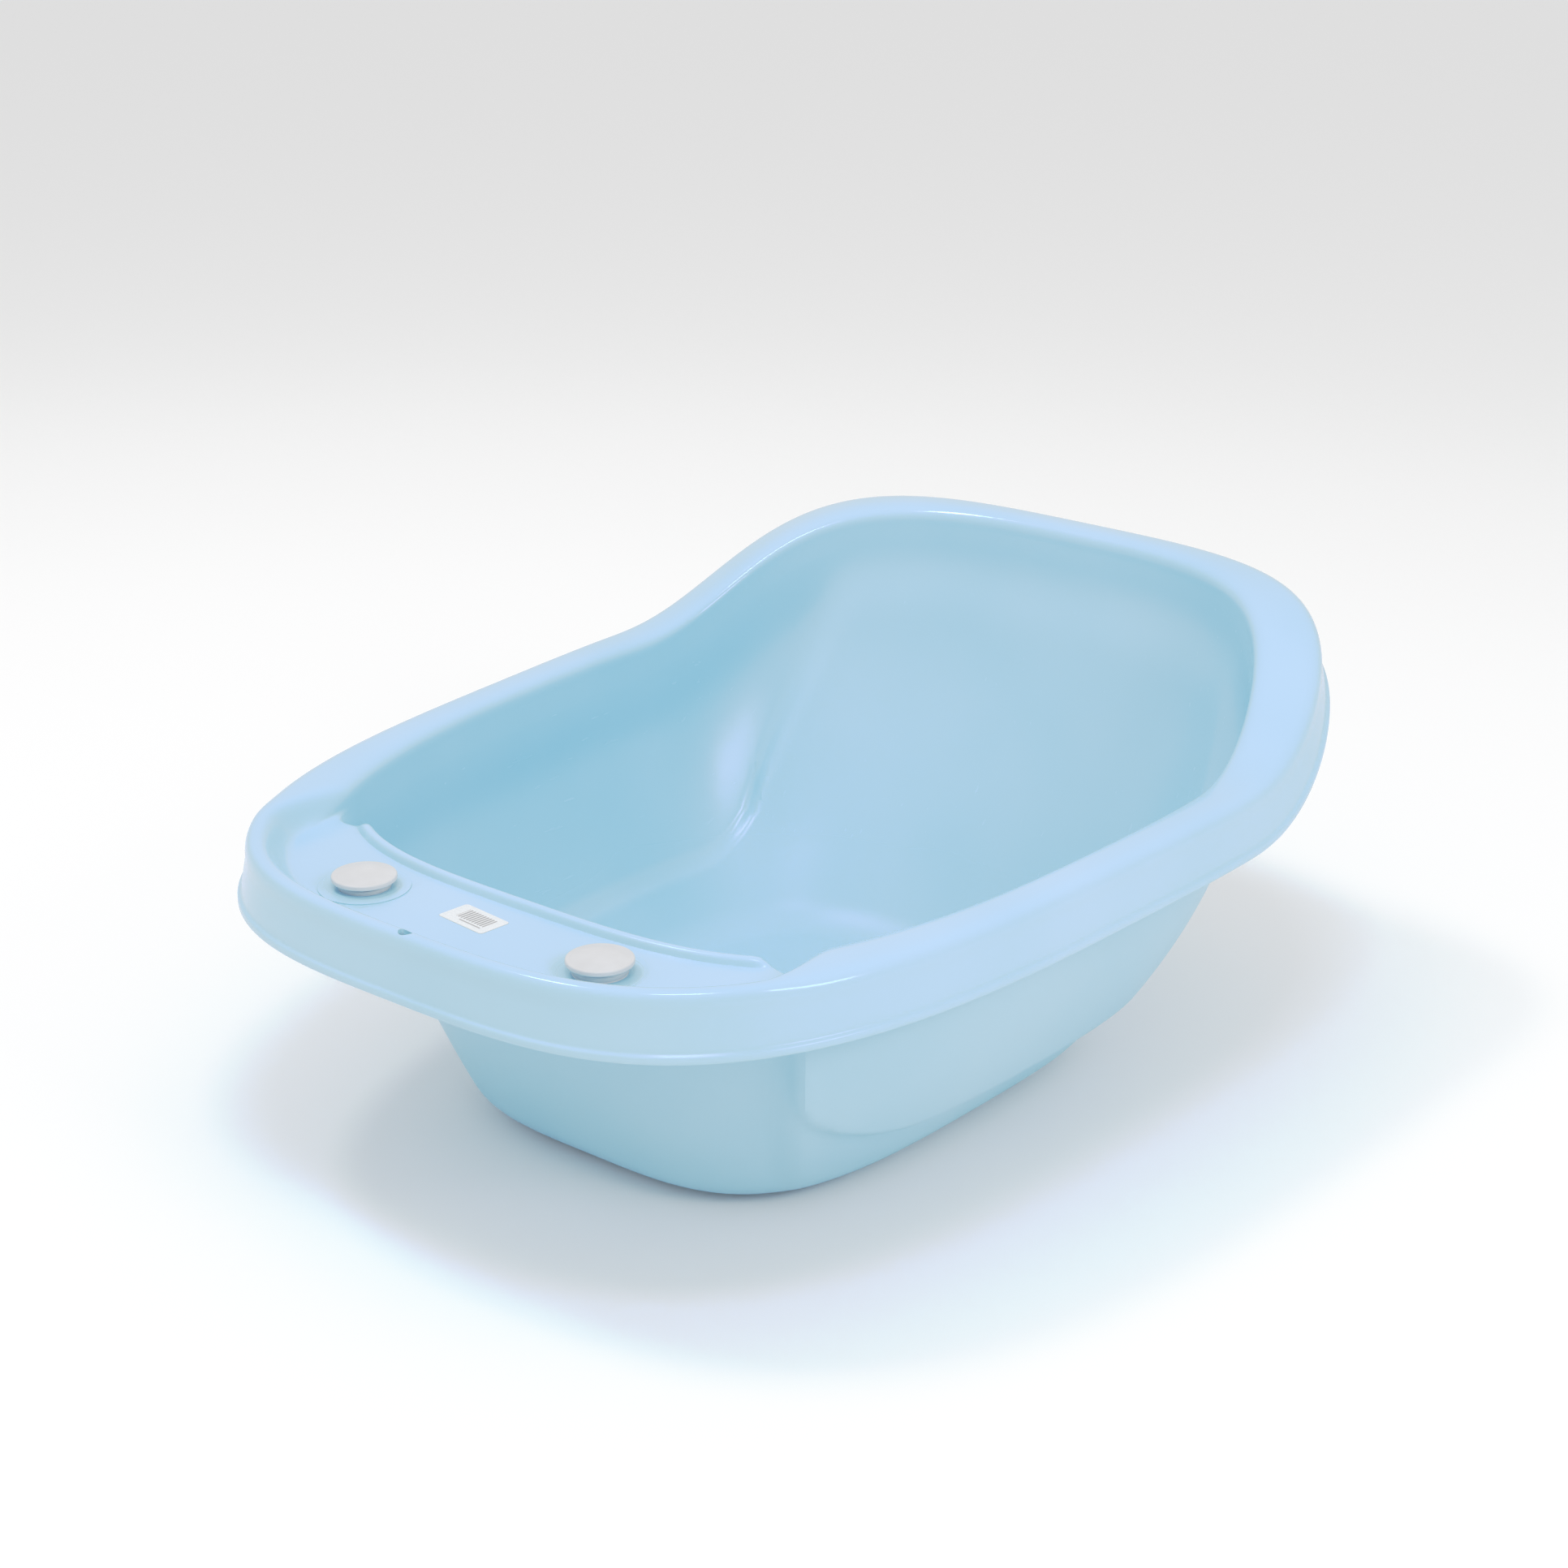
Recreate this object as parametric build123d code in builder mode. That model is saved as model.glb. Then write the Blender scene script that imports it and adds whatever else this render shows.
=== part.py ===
from build123d import *

import os
from math import asin, cos, degrees, hypot, pi, radians, sin

os.makedirs("parts", exist_ok=True)

# Baby bathtub, millimetres. +X points to the head end, +Z is up, and the origin is the middle of the
# footprint on the surface that the tub stands on. The tub is mirror-symmetric about the XZ plane.

# Driving dimensions ---------------------------------------------------------------------------------
TUB_LENGTH = 770.0          # over the lip, along X
TUB_WIDTH = 577.0           # over the lip at the middle, along Y
HEAD_FLARE = 0.08           # how much wider the plan gets at the head end, as a share of the width
FOOT_POWER = 3.25           # superellipse power of the lip's plan at the foot end
HEAD_POWER = 3.36           # the same at the head end
WALL = 2.5                  # moulded wall

LOW_CREST = 229.5           # height of the rim's crest at the foot end and along the sides
HEAD_RISE = 91.0            # how much higher the crest is at the head end
RISE_START = 125.0          # where along X the crest starts to rise
RISE_LENGTH = 302.0         # how far along X the rise takes

LIP_DROP = 42.5             # crest down to the lip's lower edge
LIP_HEIGHT = 5.0            # the lip's own band
LIP_STEP = 2.5              # how far the lip stands proud of the skirt
SKIRT_LEAN = 3.7            # how far the skirt leans in over its height
ROLL_HEIGHT = 14.0          # height of the rolled top of the rim
ROLL_HALF_WIDTH = 16.3      # half its width along the sides and at the head end
ROLL_POWER = 3.0            # superellipse power of the roll's section
WALL_FOOT_POWER = 2.6       # superellipse power of the plan where roll and wall meet, foot half
WALL_HEAD_POWER = 2.92      # the same for the head half
SHELF_CREST_INSET = 13.0    # lip to crest where the shelf meets the rim
SHELF_EDGE_INSET = 35.0     # lip to the shelf's outer edge

SHELF_DROP = 19.0           # crest down to the shelf
RIDGE_REACH = 264.0         # middle of the tub to the basin side of the shelf's ridge
RIDGE_POWER = 3.5           # superellipse power of the ridge's plan
RIDGE_RADIUS = 5.0          # round top of the ridge
SHELF_END_ANGLE = 45.0      # the shelf runs out this far round from the foot end, degrees
SHELF_FADE_ANGLE = 11.0     # and fades over the last part of it, degrees

FLOOR_FOOT = 215.0          # middle of the tub to the floor's edge at the foot end, before its fillet
FLOOR_HEAD = 189.0          # the same at the head end
FLOOR_HALF_WIDTH = 162.0    # the same at the sides
FLOOR_POWER = 3.6           # superellipse power of the floor's plan
FLOOR_FILLET = 18.0         # round between floor and wall
FOOT_BOW = 1.85             # how the wall bows from floor to rim: 1 is straight, more is rounder
HEAD_BOW = 1.7
SIDE_BOW = 1.85
FOOT_TUCK = 5.0             # how far the wall tucks in below the roll
HEAD_TUCK = 6.0
SIDE_TUCK = 4.5
TUCK_HEIGHT = 60.0          # height that the tuck takes; the panels run out over it too

PANEL_DEPTH = 11.0          # the side panels stand out of the bowl by this much
PANEL_BOTTOM = 52.0         # height of a panel's lower edge
PANEL_TOE = 141.0           # a panel starts this far round from the head end, degrees
PANEL_CORNER_ANGLE = 26.0   # run of its rounded lower corner at the toe, degrees
PANEL_CORNER_RISE = 65.0    # and its rise
PANEL_EDGE = 0.18           # width of the sloped edge, as a share of that corner's run and rise
PANEL_HEEL_LOW = 41.0       # where the heel's edge starts from the backrest, at its foot, degrees
PANEL_HEEL_HIGH = 26.0      # the same at its top
PANEL_HEEL_BEND = 1.4       # how it bends between them: 1 is straight
PANEL_HEEL_FOOT = 107.0     # height at which the heel's edge starts to lean
PANEL_HEEL_TOP = 260.0      # and where it ends
PANEL_HEEL_WIDTH = 2.0      # width of the heel's edge at its foot, degrees
PANEL_HEEL_SPREAD = 8.5     # how much wider it is at its top, degrees

BASE_RING_HEIGHT = 4.0      # ring that the tub stands on
BASE_RING_WIDTH = 4.0
BASE_RING_INSET = 8.0       # from the edge of the flat base

PLUG_X = -309.0             # the two plugs on the shelf
PLUG_Y = 102.0
CAP_DIAMETER = 42.6
CAP_EDGE = 3.4              # height of the cap's upright edge
CAP_CROWN = 2.6             # how much the cap's top is domed
CAP_ROUND = 1.2             # round between edge and top
COLLAR_DIAMETER = 34.5
COLLAR_HEIGHT = 4.6         # collar above the dish that it stands in
COLLAR_BORE = 22.0
COLLAR_REACH = 8.0          # sleeve below the shelf's upper face
PLUG_HOLE = 28.0            # hole in the shelf
BEAD = 1.0                  # snap bead under the shelf, proud of the sleeve
STEM_DIAMETER = 21.2
STEM_LENGTH = 16.0
STEM_WALL = 2.0
SEAL_THICKNESS = 1.2
SEAL_DIAMETER = 31.0
PRESS_GAP = 0.15            # between the hole and the sleeve that is pressed into it
LIFT_GAP = 0.3              # between the seal and the collar when the plug is in

DISH_DIAMETER = 52.0        # floor of the shallow dish round each plug
DISH_DEPTH = 0.9
DISH_SLOPE = 4.0            # run of the dish's sloped side
HANGING_HOLE = 10.0         # hole through the top of the rim at the foot end
HANGING_HOLE_X = -370.5

LABEL_LENGTH = 42.0
LABEL_WIDTH = 24.0
LABEL_CORNER = 2.5
LABEL_THICKNESS = 0.2
LABEL_GLUE = 0.05           # height of the sticker above the shelf
LABEL_X = -302.0
LABEL_Y = 11.0
LABEL_TURN = 84.0           # of the label's long side from +X, degrees

AROUND = 72                 # points round each ring of the shell
ROLL_STEPS = 4              # rings on each half of the roll
WALL_STEPS = 10             # rings between the shelf's level and the floor's fillet
WALL_START_RUN = 0.15       # the wall under the roll starts this steep, for each of its first rings
WALL_START_FALL = 2.0

# Derived dimensions ---------------------------------------------------------------------------------
HALF_LENGTH = TUB_LENGTH / 2
HALF_WIDTH = TUB_WIDTH / 2
FLOOR = BASE_RING_HEIGHT + WALL
SHELF = LOW_CREST - SHELF_DROP
ROLL_START = LIP_STEP + SKIRT_LEAN          # lip to the outer foot of the roll
ROLL_END = ROLL_START + 2 * ROLL_HALF_WIDTH  # lip to its inner foot
DISH = SHELF - DISH_DEPTH                   # the collars stand at this height


def smooth_step(share):
    """0 below 0, 1 above 1, with no kink at either end."""
    share = min(max(share, 0.0), 1.0)
    return share**3 * (share * (6 * share - 15) + 10)


def mix(start, end, share):
    return start + (end - start) * share


def crest_height(x):
    """Height of the rim's crest: low along the tub, in an S up to the head end."""
    return LOW_CREST + HEAD_RISE * smooth_step((x - RISE_START) / RISE_LENGTH)


def plan_radius(angle, foot_reach, head_reach, half_width, foot_power, head_power):
    """Radius of an egg of two half superellipses; angle 0 is the head end."""
    at_head = cos(angle) > 0
    reach = head_reach if at_head else foot_reach
    power = head_power if at_head else foot_power
    along = abs(cos(angle) / reach) ** power
    across = abs(sin(angle) / half_width) ** power
    return (along + across) ** (-1 / power)


def rim_radius(angle, inset):
    """Plan radius of the rim, this far in from the lip."""
    reach = HALF_LENGTH - inset
    return plan_radius(angle, reach, reach, HALF_WIDTH - inset, FOOT_POWER, HEAD_POWER)


def wall_top_radius(angle, shelf):
    """Plan radius of the roll's inner foot, with rounder corners than the rim except at the shelf."""
    end = mix(ROLL_END, SHELF_EDGE_INSET, shelf)
    reach = HALF_LENGTH - end
    foot_power = mix(WALL_FOOT_POWER, FOOT_POWER, shelf)
    return plan_radius(angle, reach, reach, HALF_WIDTH - end, foot_power, WALL_HEAD_POWER)


def degrees_from_head(angle):
    """0 at the head end, 180 at the foot end, the same on both sides."""
    turned = degrees(angle) % 360
    return min(turned, 360 - turned)


def shelf_share(angle):
    """1 where the shelf is, 0 along the sides and at the head end."""
    from_foot = 180 - degrees_from_head(angle)
    return 1 - smooth_step((from_foot - SHELF_END_ANGLE + SHELF_FADE_ANGLE) / SHELF_FADE_ANGLE)


def panel_share(angle, height):
    """1 on a side panel, 0 off it."""
    turned = degrees_from_head(angle)
    rise = (height - PANEL_HEEL_FOOT) / (PANEL_HEEL_TOP - PANEL_HEEL_FOOT)
    rise = min(max(rise, 0.0), 1.0)
    heel_start = mix(PANEL_HEEL_HIGH, PANEL_HEEL_LOW, (1 - rise) ** PANEL_HEEL_BEND)
    heel_width = PANEL_HEEL_WIDTH + PANEL_HEEL_SPREAD * rise
    toe = (PANEL_TOE - turned) / PANEL_CORNER_ANGLE
    heel = PANEL_EDGE * (turned - heel_start) / heel_width
    across = min(toe, heel)
    up = (height - PANEL_BOTTOM) / PANEL_CORNER_RISE
    inside = min(across, up)
    if across < 1 and up < 1:
        inside = 1 - hypot(1 - across, 1 - up)
    return smooth_step(inside / PANEL_EDGE)


def place(angle, radius, height):
    """A point of the shell; the plan gets wider towards the head end."""
    x = radius * cos(angle)
    y = radius * sin(angle) * (1 + HEAD_FLARE * x / HALF_LENGTH)
    return (x, y, height)


def lip_and_roll(angle, crest):
    """Upper side of the rim's section, from the lip's lower edge over the roll."""
    shelf = shelf_share(angle)
    top = mix(ROLL_START + ROLL_HALF_WIDTH, SHELF_CREST_INSET, shelf)
    crest_radius = rim_radius(angle, top)
    end_radius = wall_top_radius(angle, shelf)
    lip_bottom = crest - LIP_DROP
    points = [(rim_radius(angle, 0), lip_bottom)]
    points.append((rim_radius(angle, 0), lip_bottom + LIP_HEIGHT))
    points.append((rim_radius(angle, LIP_STEP), lip_bottom + LIP_HEIGHT + 1.5))
    for step in range(ROLL_STEPS + 1):
        turn = pi / 2 * step / ROLL_STEPS
        inset = mix(top, ROLL_START, abs(cos(turn)) ** (2 / ROLL_POWER))
        fall = ROLL_HEIGHT * (1 - sin(turn) ** (2 / ROLL_POWER))
        points.append((rim_radius(angle, inset), crest - fall))
    for step in range(1, ROLL_STEPS + 1):
        share = step / ROLL_STEPS
        turn = pi / 2 * share
        inset_share = mix(sin(turn) ** (2 / ROLL_POWER), share, shelf)
        roll_fall = ROLL_HEIGHT * (1 - abs(cos(turn)) ** (2 / ROLL_POWER))
        fall = mix(roll_fall, SHELF_DROP * smooth_step(share), shelf)
        points.append((mix(crest_radius, end_radius, inset_share), crest - fall))
    return points


def shelf_and_ridge(angle, crest):
    """From the roll across the shelf and over its ridge; along the sides, the top of the wall."""
    shelf = shelf_share(angle)
    side = wall_top_radius(angle, shelf)
    ridge = plan_radius(angle, RIDGE_REACH, HALF_LENGTH - ROLL_END, HALF_WIDTH - ROLL_END,
                        RIDGE_POWER, WALL_HEAD_POWER)
    ridge_foot = ridge + 2 * RIDGE_RADIUS
    stations = [(mix(side, ridge_foot, share), SHELF) for share in (0.33, 0.67, 1.0)]
    for turn in (150, 115, 80, 45, 10):
        radius = ridge + RIDGE_RADIUS * (1 - cos(radians(turn)))
        stations.append((radius, SHELF + RIDGE_RADIUS * sin(radians(turn))))
    points = []
    for count, (radius, height) in enumerate(stations, start=1):
        wall_radius = side - WALL_START_RUN * count
        wall_height = crest - ROLL_HEIGHT - WALL_START_FALL * count
        points.append((mix(wall_radius, radius, shelf), mix(wall_height, height, shelf)))
    return points


def wall_to_floor(angle, top_radius, top_height):
    """From the top of the wall down to the edge of the flat floor."""
    floor = plan_radius(angle, FLOOR_FOOT, FLOOR_HEAD, FLOOR_HALF_WIDTH, FLOOR_POWER, FLOOR_POWER)
    at_head = cos(angle) > 0
    bow = mix(SIDE_BOW, HEAD_BOW if at_head else FOOT_BOW, cos(angle) ** 2)
    tuck = mix(SIDE_TUCK, HEAD_TUCK if at_head else FOOT_TUCK, cos(angle) ** 2)
    heights = []
    for step in range(1, WALL_STEPS):
        heights.append(mix(top_height, FLOOR + FLOOR_FILLET, step / WALL_STEPS))
    for turn in (90, 60, 30, 0):
        heights.append(FLOOR + FLOOR_FILLET * (1 - cos(radians(turn))))
    points = []
    for height in heights:
        share = (height - FLOOR) / (top_height - FLOOR)
        below_rim = smooth_step((top_height - height) / TUCK_HEIGHT)
        radius = mix(floor, top_radius - tuck * below_rim, 1 - (1 - share) ** bow)
        if height < FLOOR + FLOOR_FILLET:
            above = FLOOR_FILLET - (height - FLOOR)
            radius -= FLOOR_FILLET - (FLOOR_FILLET**2 - above**2) ** 0.5
        radius += PANEL_DEPTH * panel_share(angle, height) * below_rim
        points.append((radius, height))
    return points


def upper_section(angle):
    """The whole upper side of the shell at one angle, from the lip's edge to the floor's edge."""
    crest = crest_height(rim_radius(angle, ROLL_START) * cos(angle))
    points = lip_and_roll(angle, crest)
    points += shelf_and_ridge(angle, crest)
    points += wall_to_floor(angle, *points[-1])
    return points


def lower_section(upper):
    """The same line, one wall thickness outside it and below it."""
    points = []
    for index, (radius, height) in enumerate(upper):
        before = upper[max(index - 1, 0)]
        after = upper[min(index + 1, len(upper) - 1)]
        run = after[0] - before[0]
        rise = after[1] - before[1]
        length = hypot(run, rise)
        points.append((radius - WALL * rise / length, height + WALL * run / length))
    lip_radius, lip_height = upper[0]
    floor_radius, floor_height = upper[-1]
    points[0] = (lip_radius - WALL, lip_height)
    points[-1] = (floor_radius, floor_height - WALL)
    return points


def ring_wire(sections, level):
    """One closed ring round the tub, through the same station of every section."""
    with BuildLine() as ring:
        Spline(*[place(angle, *section[level]) for angle, section in zip(ANGLES, sections)],
               periodic=True)
    return ring.wire()


def plan_wire(inset):
    """Plan of the flat base, this far in from its edge."""
    with BuildLine() as plan:
        Spline(*[place(angle, lower[-1][0] - inset, 0.0) for angle, lower in zip(ANGLES, LOWER)],
               periodic=True)
    return plan.wire()


def upright_plane(side):
    """XZ plane through the middle of the plug on this side, at the height of the dish."""
    return Plane(origin=(PLUG_X, side * PLUG_Y, DISH), x_dir=(1, 0, 0), z_dir=(0, -1, 0))


def plug_axis(side):
    return Axis((PLUG_X, side * PLUG_Y, 0), (0, 0, 1))


# Shell ----------------------------------------------------------------------------------------------
# One moulding: closed rings through the same station of every upright section, lofted from the flat
# base out under the rim, round the lip, over the rim and the shelf, and down to the floor.
ANGLES = [2 * pi * step / AROUND for step in range(AROUND)]
UPPER = [upper_section(angle) for angle in ANGLES]
LOWER = [lower_section(section) for section in UPPER]
STATIONS = range(len(UPPER[0]))
rings = [ring_wire(LOWER, level) for level in reversed(STATIONS)]
rings += [ring_wire(UPPER, level) for level in STATIONS]

with BuildPart() as tub_shell:
    add(Solid.make_loft(rings, ruled=True))
    # ring that the tub stands on
    with BuildSketch(Plane.XY):
        add(Face(plan_wire(BASE_RING_INSET), [plan_wire(BASE_RING_INSET + BASE_RING_WIDTH)]))
    extrude(amount=BASE_RING_HEIGHT + WALL / 2)
    # shallow dish round each plug, and the plug's hole
    for plug_side in (-1, 1):
        with Locations((PLUG_X, plug_side * PLUG_Y, DISH)):
            Cone(
                bottom_radius=DISH_DIAMETER / 2,
                top_radius=DISH_DIAMETER / 2 + DISH_SLOPE,
                height=DISH_DEPTH + 0.1,
                align=(Align.CENTER, Align.CENTER, Align.MIN),
                mode=Mode.SUBTRACT,
            )
            Cylinder(radius=PLUG_HOLE / 2, height=4 * WALL, mode=Mode.SUBTRACT)
    # hanging hole
    with Locations((HANGING_HOLE_X, 0, SHELF)):
        Cylinder(radius=HANGING_HOLE / 2, height=4 * SHELF_DROP, mode=Mode.SUBTRACT)
tub_shell.part.label = "tub_shell"
export_step(tub_shell.part, "parts/tub_shell.step")


# Plugs ----------------------------------------------------------------------------------------------
def make_collar(side, name):
    """Sleeve with a flange, pressed into the shelf; a bead under the shelf holds it."""
    bore = COLLAR_BORE / 2
    flange = COLLAR_DIAMETER / 2
    sleeve = PLUG_HOLE / 2 - PRESS_GAP
    under = -(WALL - DISH_DEPTH) - LIFT_GAP
    with BuildPart() as collar:
        with BuildSketch(upright_plane(side)):
            with BuildLine():
                Polyline(
                    (bore, COLLAR_HEIGHT),
                    (flange - CAP_ROUND, COLLAR_HEIGHT),
                    (flange, COLLAR_HEIGHT - CAP_ROUND),
                    (flange, 0),
                    (sleeve, 0),
                    (sleeve, under),
                    (sleeve + BEAD, under - BEAD),
                    (sleeve, under - 2 * BEAD),
                    (sleeve - BEAD, -COLLAR_REACH),
                    (bore, -COLLAR_REACH),
                    close=True,
                )
            make_face()
        revolve(axis=plug_axis(side))
    collar.part.label = name
    export_step(collar.part, f"parts/{name}.step")


def make_seal(side, name):
    """Soft washer on the stem, under the cap."""
    seat = COLLAR_HEIGHT + LIFT_GAP
    with BuildPart() as seal:
        with BuildSketch(Plane((PLUG_X, side * PLUG_Y, DISH + seat))):
            Circle(SEAL_DIAMETER / 2)
            Circle(STEM_DIAMETER / 2, mode=Mode.SUBTRACT)
        extrude(amount=SEAL_THICKNESS)
    seal.part.label = name
    export_step(seal.part, f"parts/{name}.step")


def make_cap(side, name):
    """Mushroom cap with a low dome, a rounded edge and a hollow stem."""
    rim = CAP_DIAMETER / 2
    flat = rim - CAP_ROUND
    dome = (flat**2 + CAP_CROWN**2) / (2 * CAP_CROWN)
    stem = STEM_DIAMETER / 2
    seat = COLLAR_HEIGHT + LIFT_GAP + SEAL_THICKNESS
    edge_top = seat + CAP_EDGE
    tip = seat - STEM_LENGTH
    with BuildPart() as cap:
        with BuildSketch(upright_plane(side)):
            with BuildLine():
                Polyline(
                    (0, edge_top + CAP_CROWN),
                    (0, seat + CAP_ROUND),
                    (stem - STEM_WALL, seat + CAP_ROUND),
                    (stem - STEM_WALL, tip),
                    (stem - STEM_WALL / 2, tip),
                    (stem, tip + STEM_WALL),
                    (stem, seat),
                    (flat, seat),
                )
                ThreePointArc((flat, seat), (rim, (seat + edge_top) / 2), (flat, edge_top))
                CenterArc((0, edge_top + CAP_CROWN - dome), dome, 90, -degrees(asin(flat / dome)))
            make_face()
        revolve(axis=plug_axis(side))
    cap.part.label = name
    export_step(cap.part, f"parts/{name}.step")


for plug_side, side_name in ((1, "left"), (-1, "right")):
    make_collar(plug_side, f"{side_name}_plug_collar")
    make_seal(plug_side, f"{side_name}_seal_ring")
    make_cap(plug_side, f"{side_name}_plug_cap")

# Label ----------------------------------------------------------------------------------------------
with BuildPart() as label:
    with BuildSketch(Plane((LABEL_X, LABEL_Y, SHELF + LABEL_GLUE)).rotated((0, 0, LABEL_TURN))):
        RectangleRounded(LABEL_LENGTH, LABEL_WIDTH, LABEL_CORNER)
    extrude(amount=LABEL_THICKNESS)
label.part.label = "label"
export_step(label.part, "parts/label.step")
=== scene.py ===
from math import atan2, cos, degrees, hypot, pi, radians, sin

import bpy
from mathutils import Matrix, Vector


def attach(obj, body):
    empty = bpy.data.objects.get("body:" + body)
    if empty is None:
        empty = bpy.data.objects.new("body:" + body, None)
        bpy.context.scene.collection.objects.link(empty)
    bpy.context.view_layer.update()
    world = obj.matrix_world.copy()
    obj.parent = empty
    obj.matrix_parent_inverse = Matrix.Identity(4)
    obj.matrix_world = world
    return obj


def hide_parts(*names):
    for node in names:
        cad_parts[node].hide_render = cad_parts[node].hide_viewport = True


# Baby bathtub. Lengths are in millimetres until a mesh is made; MM turns them into metres.
# +X points to the head end and +Z is up, as in the CAD.
MM = 0.001

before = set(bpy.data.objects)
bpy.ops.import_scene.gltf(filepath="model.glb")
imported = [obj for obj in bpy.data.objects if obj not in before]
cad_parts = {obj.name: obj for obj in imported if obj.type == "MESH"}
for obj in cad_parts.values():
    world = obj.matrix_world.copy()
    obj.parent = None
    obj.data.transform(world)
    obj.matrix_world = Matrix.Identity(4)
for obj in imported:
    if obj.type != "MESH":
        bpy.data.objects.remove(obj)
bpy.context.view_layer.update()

# Dimensions shared with the CAD -----------------------------------------------------------------------
HALF_LENGTH = 385.0
HALF_WIDTH = 288.5
HEAD_FLARE = 0.08
FOOT_POWER = 3.25
HEAD_POWER = 3.36
WALL = 2.5

LOW_CREST = 229.5
HEAD_RISE = 91.0
RISE_START = 125.0
RISE_LENGTH = 302.0

LIP_DROP = 42.5
LIP_STEP = 2.5
ROLL_START = 6.2            # lip to the outer foot of the roll
ROLL_HEIGHT = 14.0
ROLL_HALF_WIDTH = 16.3
ROLL_END = ROLL_START + 2 * ROLL_HALF_WIDTH
ROLL_POWER = 3.0
WALL_FOOT_POWER = 2.6
WALL_HEAD_POWER = 2.92
SHELF_CREST_INSET = 13.0
SHELF_EDGE_INSET = 35.0

SHELF = 210.5
RIDGE_REACH = 264.0
RIDGE_POWER = 3.5
RIDGE_RADIUS = 5.0
SHELF_END_ANGLE = 45.5      # the shelf runs out this far round from the foot end, degrees
SHELF_FADE_ANGLE = 9.0
RIDGE_END_ANGLE = 39.5      # its ridge ends in a rounded nose before that, beside the drain notch
RIDGE_FADE_ANGLE = 3.5
NOTCH_ROUND = 11.0          # round edge over which the notch falls into the basin

FLOOR = 6.5
FLOOR_FOOT = 215.0
FLOOR_HEAD = 189.0
FLOOR_HALF_WIDTH = 162.0
FLOOR_POWER = 3.6
FLOOR_FILLET = 18.0
FOOT_BOW = 1.85
HEAD_BOW = 1.7
SIDE_BOW = 1.85
FOOT_TUCK = 5.0
HEAD_TUCK = 6.0
SIDE_TUCK = 4.5
TUCK_HEIGHT = 60.0

PANEL_DEPTH = 11.0
PANEL_BOTTOM = 52.0
PANEL_TOE = 141.0
PANEL_CORNER_ANGLE = 26.0
PANEL_CORNER_RISE = 65.0
PANEL_EDGE = 0.13
PANEL_HEEL_LOW = 41.0
PANEL_HEEL_HIGH = 26.0
PANEL_HEEL_BEND = 1.4
PANEL_HEEL_FOOT = 107.0
PANEL_HEEL_TOP = 260.0
PANEL_HEEL_WIDTH = 2.0
PANEL_HEEL_SPREAD = 8.5

BASE_RING_WIDTH = 4.0
BASE_RING_INSET = 8.0

PLUG_X = -309.0
PLUG_Y = 102.0
DISH = 209.6
DISH_RADIUS = 26.0
DISH_SLOPE = 4.0
PLUG_HOLE_RADIUS = 14.0
HANGING_HOLE_X = -370.5
HANGING_HOLE_RADIUS = 5.0

CAP_RADIUS = 21.3
CAP_BOTTOM = 6.1            # above the dish
CAP_EDGE_TOP = 9.5
CAP_CROWN = 2.6
STEM_RADIUS = 10.6
STEM_BORE = 8.6
STEM_TIP = -9.9
COLLAR_RADIUS = 17.25
COLLAR_TOP = 4.6
COLLAR_BORE = 11.0
SLEEVE_RADIUS = 13.85
SLEEVE_END = -8.0
BEAD_OVERLAP = 0.3          # how far the sleeve's snap bead starts above the shelf's lower side

LABEL_LENGTH = 42.0
LABEL_WIDTH = 24.0
LABEL_CORNER = 2.5
LABEL_SOFT = 0.06           # softening of the sticker's top edge
LABEL_X = -302.0
LABEL_Y = 11.0
LABEL_TURN = 84.0
LABEL_BOTTOM = SHELF + 0.05
LABEL_TOP = LABEL_BOTTOM + 0.2

AROUND = 480                # points round each ring of the shell


# Shape of the shell, as in the CAD but with finer steps -------------------------------------------------
def smooth_step(share):
    share = min(max(share, 0.0), 1.0)
    return share**3 * (share * (6 * share - 15) + 10)


def mix(start, end, share):
    return start + (end - start) * share


def steps(count):
    """Shares from just above 0 up to 1."""
    return [(step + 1) / count for step in range(count)]


def crest_height(x):
    return LOW_CREST + HEAD_RISE * smooth_step((x - RISE_START) / RISE_LENGTH)


def plan_radius(angle, foot_reach, head_reach, half_width, foot_power, head_power):
    at_head = cos(angle) > 0
    reach = head_reach if at_head else foot_reach
    power = head_power if at_head else foot_power
    along = abs(cos(angle) / reach) ** power
    across = abs(sin(angle) / half_width) ** power
    return (along + across) ** (-1 / power)


def rim_radius(angle, inset):
    reach = HALF_LENGTH - inset
    return plan_radius(angle, reach, reach, HALF_WIDTH - inset, FOOT_POWER, HEAD_POWER)


def wall_top_radius(angle, shelf):
    end = mix(ROLL_END, SHELF_EDGE_INSET, shelf)
    reach = HALF_LENGTH - end
    foot_power = mix(WALL_FOOT_POWER, FOOT_POWER, shelf)
    return plan_radius(angle, reach, reach, HALF_WIDTH - end, foot_power, WALL_HEAD_POWER)


def degrees_from_head(angle):
    turned = degrees(angle) % 360
    return min(turned, 360 - turned)


def share_near_foot(angle, end, fade):
    """1 at the foot end, falling to 0 at this many degrees from it."""
    from_foot = 180 - degrees_from_head(angle)
    return 1 - smooth_step((from_foot - end + fade) / fade)


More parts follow.
